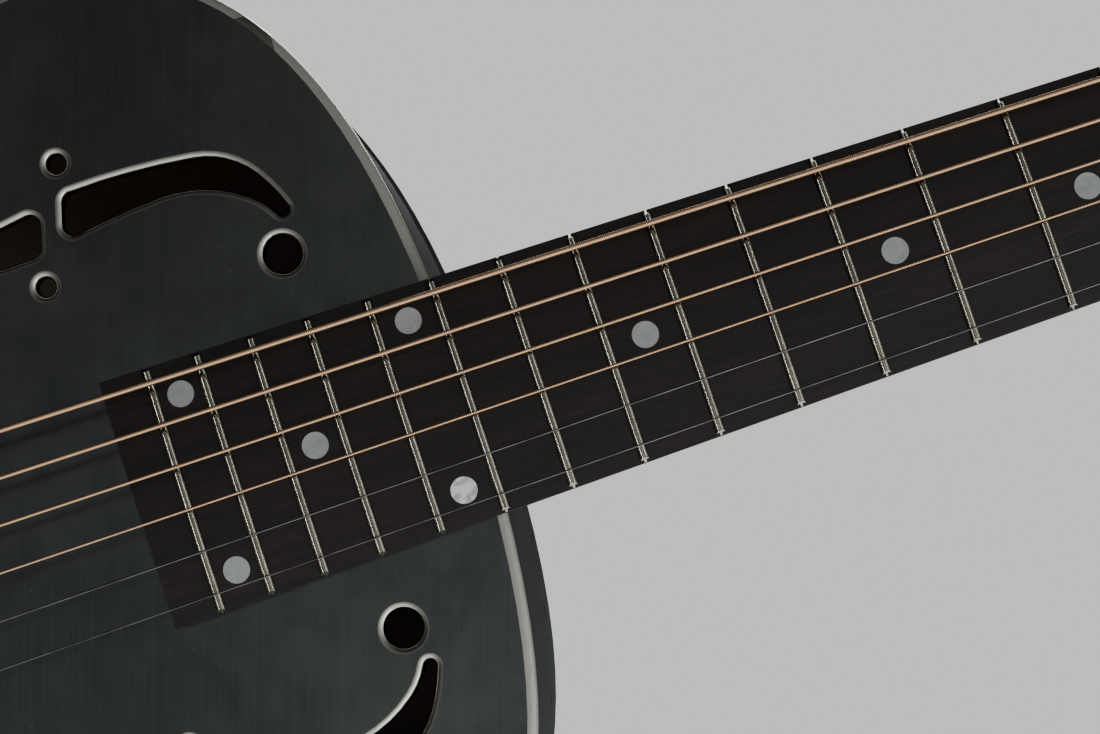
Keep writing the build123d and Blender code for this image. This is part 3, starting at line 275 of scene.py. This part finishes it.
def plain_metal(name, colour, worn, roughness, grain=1.2, relief=0.012):
    """Small turned or pressed metal parts: faint handling marks and slight tarnish."""
    shader = Shader(name)
    marks = shader.noise(shader.stretched(grain, grain, grain), 4.0, 0.65)
    tarnish = shader.noise(shader.stretched(0.12, 0.12, 0.12), 4.0, 0.6)
    tint = shader.mix(shader.between(tarnish, 0.4, 0.65), colour, worn)
    rough = shader.math("MULTIPLY_ADD", marks, 0.22, roughness - 0.1)
    normal = shader.bump(marks, relief)
    return shader.finish(Base_Color=tint, Metallic=1.0, Roughness=rough, Normal=normal)


wrap_pitch = 0.42


def wrapped_wire():
    """Bronze wrap wire on the thick strings: close turns as ridges along the string."""
    shader = Shader("bronze_wrap")
    along = shader.split(shader.stretched(1, 1, 1))[2]
    turn = shader.math("MULTIPLY", along, tau / wrap_pitch)
    ridge = shader.math("SINE", turn)
    tone = shader.noise(shader.stretched(0.5, 0.5, 0.05), 3.0, 0.6)
    colour = shader.mix(tone, (1.0, 0.7, 0.45), (0.92, 0.58, 0.34))
    # painted highlight and shade: lighter where the wire faces out of the board, darker on the flanks
    facing = shader.math("MULTIPLY", shader.split(shader.object_normal())[1], -1.0)
    flank_shade = shader.between(facing, 0.55, 0.85, 1.0, 0.0)
    colour = shader.mix(flank_shade, colour, (0.34, 0.17, 0.08))
    # painted shade in the grooves between the turns
    groove_shade = shader.between(ridge, -1.0, -0.2, 0.55, 0.0)
    colour = shader.mix(groove_shade, colour, (0.2, 0.1, 0.05))
    normal = shader.bump(ridge, 0.05)
    return shader.finish(Base_Color=colour, Metallic=1.0, Roughness=0.38, Normal=normal)


# ------------------------------------------------------------------ wood, pearl, plastic, bone
def wood(name, dark, light, pore, roughness, grain=(1.1, 1.1, 0.018), sheen=0.0, gloss=0.5):
    """Straight-grained wood with fine open pores; the grain runs along the neck."""
    shader = Shader(name)
    x, y, z = grain
    figure = shader.noise(shader.stretched(x * 0.25, y * 0.25, z * 0.8), 4.0, 0.6, 0.4)
    fibre = shader.noise(shader.stretched(x * 2.2, y * 2.2, z * 1.6), 4.0, 0.7)
    pores = shader.noise(shader.stretched(x * 3.2, y * 3.2, z * 6.0), 2.0, 0.5)
    tone = shader.math("MULTIPLY_ADD", figure, 0.6, shader.math("MULTIPLY", fibre, 0.4))
    colour = shader.mix(shader.between(tone, 0.34, 0.66), dark, light)
    open_pore = shader.between(pores, 0.62, 0.72)
    colour = shader.mix(open_pore, colour, pore)
    rough = shader.math("MULTIPLY_ADD", fibre, 0.16, roughness - 0.08)
    relief = shader.math("MULTIPLY_ADD", open_pore, -0.8, fibre)
    normal = shader.bump(relief, 0.018)
    return shader.finish(
        Base_Color=colour,
        Roughness=rough,
        Normal=normal,
        Coat_Weight=sheen,
        Coat_Roughness=0.25,
        Specular_IOR_Level=gloss,
    )


# place of the one pearl dot painted bright as a glint
glint_dot_z = 278.0
glint_dot_reach = 10.0
glint_dot_side = 8.0


def mother_of_pearl():
    """Layered shell: faint bands in a cool grey; one dot is painted much brighter, a painted glint."""
    shader = Shader("pearl")
    x, _, z = shader.split(shader.stretched(1, 1, 1))[0:3]
    # painted glint: the treble-side dot near the fifteenth fret is painted bright
    on_treble = shader.math("GREATER_THAN", x, glint_dot_side)
    near_fifteenth = shader.math("COMPARE", z, glint_dot_z, glint_dot_reach)
    painted_glint = shader.math("MULTIPLY", on_treble, near_fifteenth)
    layers = shader.noise(shader.stretched(0.3, 0.3, 0.16, turn=(0, 30, 0)), 4.0, 0.55, 1.6)
    quiet = shader.mix(shader.between(layers, 0.35, 0.65), (0.32, 0.345, 0.35), (0.4, 0.42, 0.42))
    bright = shader.mix(shader.between(layers, 0.42, 0.58), (0.5, 0.5, 0.49), (0.95, 0.95, 0.92))
    colour = shader.mix(painted_glint, quiet, bright)
    blush = shader.between(layers, 0.5, 0.7, 0.0, 0.2)
    colour = shader.mix(blush, colour, (0.3, 0.24, 0.25))
    normal = shader.bump(layers, 0.02)
    return shader.finish(
        Base_Color=colour, Roughness=0.3, Normal=normal, Coat_Weight=0.3, Coat_Roughness=0.08
    )


def cast_plastic(name, colour, cloud, roughness):
    """Moulded plastic with faint clouds and handling marks."""
    shader = Shader(name)
    swirl = shader.noise(shader.stretched(0.12, 0.12, 0.3), 4.0, 0.6, 1.5)
    marks = shader.noise(shader.stretched(2.0, 2.0, 2.0), 3.0, 0.6)
    tint = shader.mix(shader.between(swirl, 0.35, 0.65), colour, cloud)
    rough = shader.math("MULTIPLY_ADD", marks, 0.12, roughness - 0.06)
    normal = shader.bump(marks, 0.01)
    return shader.finish(
        Base_Color=tint,
        Roughness=rough,
        Normal=normal,
        Subsurface_Weight=0.08,
        Subsurface_Radius=(0.002, 0.0015, 0.001),
    )


face_dark = (0.085, 0.093, 0.098)
face_light = (0.135, 0.145, 0.148)
# pale colour for worn edges, used also as a painted highlight along the rolled edges
worn_edge_and_highlight = (0.38, 0.37, 0.335)
sound_hole_zone = (106, 118, 264)

looks = {
    "top": aged_metal(
        "aged_steel_top",
        "across",
        face_dark,
        face_light,
        worn_edge_and_highlight,
        roughness=0.23,
        grip=0.0,
        inside=1,
        hole_zone=sound_hole_zone,
    ),
    "back": aged_metal("aged_steel_back", "across", face_dark, face_light, worn_edge_and_highlight, inside=-1),
    "sides": aged_metal("aged_steel_sides", "around", face_dark, face_light, worn_edge_and_highlight),
    "cover": aged_metal(
        "aged_steel_cover", "spun", face_dark, face_light, worn_edge_and_highlight, 0.32, 0.6, bare_from=(0.8, 0.6)
    ),
    "well": aged_metal(
        "inner_steel", "spun", (0.06, 0.05, 0.045), (0.1, 0.09, 0.08), (0.2, 0.19, 0.17), 0.5
    ),
    "cone": aged_metal(
        "cone_aluminium", "spun", (0.52, 0.53, 0.54), (0.66, 0.67, 0.68), (0.6, 0.6, 0.6), 0.36, 0.7
    ),
    "nickel": plain_metal("nickel", (0.52, 0.5, 0.46), (0.36, 0.34, 0.31), 0.27),
    "frets": plain_metal("fret_nickel", (0.27, 0.265, 0.215), (0.2, 0.195, 0.16), 0.1, 2.0, 0.0),
    "brass": plain_metal("gear_brass", (0.62, 0.45, 0.18), (0.4, 0.28, 0.12), 0.34),
    "steel": plain_metal("rod_steel", (0.4, 0.4, 0.4), (0.3, 0.29, 0.28), 0.4),
    "plain_wire": plain_metal("plain_wire", (0.16, 0.16, 0.16), (0.08, 0.08, 0.078), 0.28, 3.0),
    "bronze_wire": wrapped_wire(),
    "bronze_turns": plain_metal("bronze_turns", (0.8, 0.46, 0.24), (0.5, 0.27, 0.13), 0.38, 3.0),
    "pearl": mother_of_pearl(),
    "ebony": wood(
        "ebony",
        (0.0045, 0.0035, 0.0032),
        (0.014, 0.0095, 0.008),
        (0.002, 0.0015, 0.0015),
        0.4,
        gloss=0.4,
    ),
    "maple": wood("maple", (0.42, 0.27, 0.14), (0.6, 0.42, 0.24), (0.3, 0.18, 0.09), 0.5),
    "neck_wood": wood(
        "neck_wood", (0.055, 0.02, 0.011), (0.12, 0.045, 0.022), (0.02, 0.008, 0.005), 0.34, sheen=0.5
    ),
    "buttons": cast_plastic("button_plastic", (0.78, 0.7, 0.52), (0.7, 0.6, 0.42), 0.22),
    "black_plastic": cast_plastic("black_plastic", (0.012, 0.012, 0.012), (0.02, 0.02, 0.02), 0.2),
    "bone": cast_plastic("bone", (0.76, 0.71, 0.58), (0.66, 0.6, 0.46), 0.34),
}

look_of = {
    "top_plate": "top",
    "back_plate": "back",
    "side_band": "sides",
    "cone_well": "well",
    "resonator_cone": "cone",
    "cover_plate": "cover",
    "hand_rest": "cover",
    "frets": "frets",
    "fret_dots": "pearl",
    "side_dots": "pearl",
    "fingerboard": "ebony",
    "fingerboard_shim": "ebony",
    "headstock_overlay": "ebony",
    "truss_rod_cover": "black_plastic",
    "truss_rod": "steel",
    "nut": "bone",
    "neck": "neck_wood",
    "neck_stick": "maple",
    "stick_supports": "maple",
    "bridge_biscuit": "maple",
    "bridge_saddle": "maple",
    "plain_strings": "plain_wire",
    "wound_strings": "bronze_wire",
}
look_by_word = {"tuner_button": "buttons", "tuner_gear": "brass"}


def look_for(node):
    """The look of a CAD node; hardware that isn't named is nickel."""
    if node in look_of:
        return looks[look_of[node]]
    for word, look in look_by_word.items():
        if node.startswith(word):
            return looks[look]
    return looks["nickel"]


for node, thing in nodes.items():
    thing.data.materials.clear()
    thing.data.materials.append(look_for(node))


# ------------------------------------------------------------------ string turns on the posts
waist_radius = 2.5
waist_reach = 3.0
waist_flare = 0.5
string_level = 8.0
turns_on_post = {1: 4.2, 2: 4.2, 3: 3.2, 4: 2.7, 5: 2.2, 6: 1.7}
turn_gap = 0.04
post_clearance = 0.06
steps_per_turn = 40
sides_of_tube = 10


def tube(name, points, normals, radius):
    """Round bar along a line of points; the first cross-section direction is given at each point."""
    rings = []
    for index, (point, normal) in enumerate(zip(points, normals)):
        before = points[max(index - 1, 0)]
        after = points[min(index + 1, len(points) - 1)]
        across = (after - before).normalized().cross(normal).normalized()
        for side in range(sides_of_tube):
            turn = tau * side / sides_of_tube
            rings.append(point + radius * (cos(turn) * normal + sin(turn) * across))
    faces = [tuple(reversed(range(sides_of_tube)))]
    for index in range(len(points) - 1):
        start = index * sides_of_tube
        for side in range(sides_of_tube):
            beside = (side + 1) % sides_of_tube
            faces.append((
                start + side,
                start + beside,
                start + sides_of_tube + beside,
                start + sides_of_tube + side,
            ))
    last = (len(points) - 1) * sides_of_tube
    faces.append(tuple(range(last, last + sides_of_tube)))
    mesh = bpy.data.meshes.new(name)
    mesh.from_pydata([tuple(corner) for corner in rings], [], faces)
    mesh.shade_smooth()
    piece = bpy.data.objects.new(name, mesh)
    bpy.context.scene.collection.objects.link(piece)
    return piece


def string_turns(number, joint):
    """The turns of one string round its post, from where the straight string meets the post."""
    middle = Vector(joint["pos_m"])
    upward = Vector(joint["axis"])
    beyond = upward.cross(to_treble)
    side = 1 if middle.x > 0 else -1
    radius = string_radius[number]
    points = []
    normals = []
    steps = round(turns_on_post[number] * steps_per_turn)
    for step in range(steps + 1):
        turned = step / steps_per_turn
        drop = turned * (2 * radius + turn_gap)
        flare = waist_flare * min(drop / waist_reach, 1.0) ** 2
        reach = waist_radius + flare + radius + post_clearance
        swing = tau * turned
        outward = -side * cos(swing) * to_treble + sin(swing) * beyond
        normals.append(outward)
        points.append(middle + MM * (reach * outward + (string_level - drop) * upward))
    piece = tube(f"string_turns_{number}", points, normals, radius * MM)
    wound = number >= first_wound
    piece.data.materials.append(looks["bronze_turns" if wound else "plain_wire"])
    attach(piece, joint["child"])


for joint in frame["joints"]:
    if joint["name"].startswith("post_"):
        string_turns(int(joint["name"].split("_")[1]), joint)


# ------------------------------------------------------------------ stage, lights and camera
def area_light(name, place, aim, size, power, colour=(1.0, 1.0, 1.0)):
    """Soft rectangular light that faces a point; sizes are in metres and power in watts."""
    data = bpy.data.lights.new(name, "AREA")
    data.shape = "RECTANGLE"
    data.size, data.size_y = size
    data.energy = power
    data.color = colour
    light = bpy.data.objects.new(name, data)
    bpy.context.scene.collection.objects.link(light)
    light.location = place
    light.rotation_mode = "QUATERNION"
    light.rotation_quaternion = (Vector(aim) - Vector(place)).to_track_quat("-Z", "Y")
    light.visible_camera = False
    return light


body_middle = (0, face_y, 0.1)
board_middle = (0, face_y, 0.38)
area_light("key", (1.0, -0.7, 0.8), body_middle, (0.6, 1.0), 3.5, (1.0, 0.985, 0.96))
# a trace of light for what the sound holes let in; behind the top, but for one corner of it
inner_place = (-0.08, -0.078, 0.15)
inner_aim = (-0.1, 0, 0.17)
area_light("inner_bounce", inner_place, inner_aim, (0.06, 0.05), 0.002, (1.0, 0.97, 0.94))
# two narrow strips draw the bright lines on the frets and light nothing else
strip_front = -0.6
strip_size = (0.9, 0.03)
fret_line = bpy.data.collections.new("lit_by_strips")
fret_line.objects.link(nodes["frets"])
for name, place_z, power in (("top_strip", 1.05, 1.4), ("low_strip", -0.2, 2.4)):
    strip = area_light(name, (0, strip_front, place_z), board_middle, strip_size, power)
    strip.light_linking.receiver_collection = fret_line
back_middle = (0, 0, 0.2)
area_light("back_key", (-1.1, 1.3, 0.9), back_middle, (1.0, 1.2), 14)
area_light("back_fill", (1.3, 1.0, 0.3), back_middle, (0.8, 1.2), 5)


pale = (0.80, 0.80, 0.79)
room_bright_side = (0.95, 0.0, 0.3)
room_fall = 2.6
room_brightest = 0.6
room_level = 0.36
room_behind = 0.12
behind_from = 0.1
behind_full = 0.7


def studio_world():
    """Pale to the camera; to the object a dim room, brighter on the treble side and headstock."""
    world = bpy.data.worlds.new("studio")
    world.use_nodes = True
    tree = world.node_tree
    tree.nodes.clear()
    output = tree.nodes.new("ShaderNodeOutputWorld")
    seen = tree.nodes.new("ShaderNodeBackground")
    lit = tree.nodes.new("ShaderNodeBackground")
    blend = tree.nodes.new("ShaderNodeMixShader")
    path = tree.nodes.new("ShaderNodeLightPath")
    seen.inputs["Color"].default_value = (*pale, 1)
    seen.inputs["Strength"].default_value = 1.0
    lit.inputs["Color"].default_value = (0.98, 0.98, 0.97, 1)
    place = tree.nodes.new("ShaderNodeTexCoord")
    towards = tree.nodes.new("ShaderNodeVectorMath")
    towards.operation = "DOT_PRODUCT"
    towards.inputs[1].default_value = [part * room_fall for part in room_bright_side]
    swell = tree.nodes.new("ShaderNodeMath")
    swell.operation = "EXPONENT"
    scaled = tree.nodes.new("ShaderNodeMath")
    scaled.operation = "MULTIPLY"
    scaled.inputs[1].default_value = room_level
    ceiling = tree.nodes.new("ShaderNodeMath")
    ceiling.operation = "MINIMUM"
    ceiling.inputs[1].default_value = room_fall * room_brightest
    tree.links.new(place.outputs["Generated"], towards.inputs[0])
    tree.links.new(towards.outputs["Value"], ceiling.inputs[0])
    tree.links.new(ceiling.outputs[0], swell.inputs[0])
    tree.links.new(swell.outputs[0], scaled.inputs[0])
    parts = tree.nodes.new("ShaderNodeSeparateXYZ")
    behind = tree.nodes.new("ShaderNodeMapRange")
    for index, value in ((1, behind_from), (2, behind_full), (3, 1.0), (4, room_behind)):
        behind.inputs[index].default_value = value
    shaded = tree.nodes.new("ShaderNodeMath")
    shaded.operation = "MULTIPLY"
    tree.links.new(place.outputs["Generated"], parts.inputs[0])
    tree.links.new(parts.outputs["Y"], behind.inputs["Value"])
    tree.links.new(scaled.outputs[0], shaded.inputs[0])
    tree.links.new(behind.outputs[0], shaded.inputs[1])
    tree.links.new(shaded.outputs[0], lit.inputs["Strength"])
    tree.links.new(path.outputs["Is Camera Ray"], blend.inputs[0])
    tree.links.new(lit.outputs[0], blend.inputs[1])
    tree.links.new(seen.outputs[0], blend.inputs[2])
    tree.links.new(blend.outputs[0], output.inputs[0])
    bpy.context.scene.world = world


floor_drop = 30 * MM
floor_half = 6.0
floor_fades_from = 0.5
floor_gone_at = 1.6


def studio_floor(level, half):
    """Plain pale floor under the hanging guitar."""
    mesh = bpy.data.meshes.new("floor")
    corners = [(-half, -half, level), (half, -half, level), (half, half, level), (-half, half, level)]
    mesh.from_pydata(corners, [], [(0, 1, 2, 3)])
    floor = bpy.data.objects.new("floor", mesh)
    bpy.context.scene.collection.objects.link(floor)
    shader = Shader("floor_paint")
    mottle = shader.noise(shader.stretched(0.01, 0.01, 0.01), 3.0, 0.5)
    colour = shader.mix(mottle, (0.74, 0.74, 0.73), (0.8, 0.8, 0.79))
    seen = shader.add("ShaderNodeLightPath").outputs["Is Camera Ray"]
    material = shader.finish(Base_Color=colour, Roughness=0.9, Specular_IOR_Level=0.1)
    # to the camera the floor runs out into the pale background; the object doesn't reflect it
    distance = shader.add("ShaderNodeVectorMath", {0: shader.place}, operation="LENGTH").outputs["Value"]
    far = shader.between(distance, floor_fades_from, floor_gone_at, 0.25, 1.0)
    glow = shader.add("ShaderNodeEmission", {"Color": pale, "Strength": 1.0})
    clear = shader.add("ShaderNodeBsdfTransparent")
    painted = shader.surface.outputs[0]
    blend = shader.add("ShaderNodeMixShader", {0: far, 1: painted, 2: glow.outputs[0]})
    shown = shader.add("ShaderNodeMixShader", {0: seen, 1: clear.outputs[0], 2: blend.outputs[0]})
    output = shader.tree.nodes["Material Output"]
    shader.tree.links.new(shown.outputs[0], output.inputs["Surface"])
    mesh.materials.append(material)


studio_world()
studio_floor(cad_low.z - floor_drop, floor_half)

# the camera looks at the strings just above the body joint, from the treble side of square on
camera_data = bpy.data.cameras.new("camera")
camera = bpy.data.objects.new("camera", camera_data)
bpy.context.scene.collection.objects.link(camera)
image_width = 1100
focal_pixels = 2000
camera_data.sensor_width = 36.0
camera_data.lens = focal_pixels / image_width * camera_data.sensor_width
camera_data.clip_start = 0.01
camera_data.clip_end = 50
neck_rise = radians(18.57)
aim_treble, aim_along = 0.2 * MM, 20.4 * MM
eye_treble, eye_along, eye_out = 41.7 * MM, 25.5 * MM, 467.6 * MM
aim = board_joint + aim_treble * to_treble + aim_along * along_neck
eye = board_joint + eye_treble * to_treble + eye_along * along_neck + eye_out * out_of_board
forward = (aim - eye).normalized()
level_neck = (along_neck - along_neck.dot(forward) * forward).normalized()
level_side = forward.cross(level_neck)
right = cos(neck_rise) * level_neck + sin(neck_rise) * level_side
up = right.cross(forward)
camera.matrix_world = Matrix((
    (right.x, up.x, -forward.x, eye.x),
    (right.y, up.y, -forward.y, eye.y),
    (right.z, up.z, -forward.z, eye.z),
    (0, 0, 0, 1),
))
bpy.context.scene.camera = camera
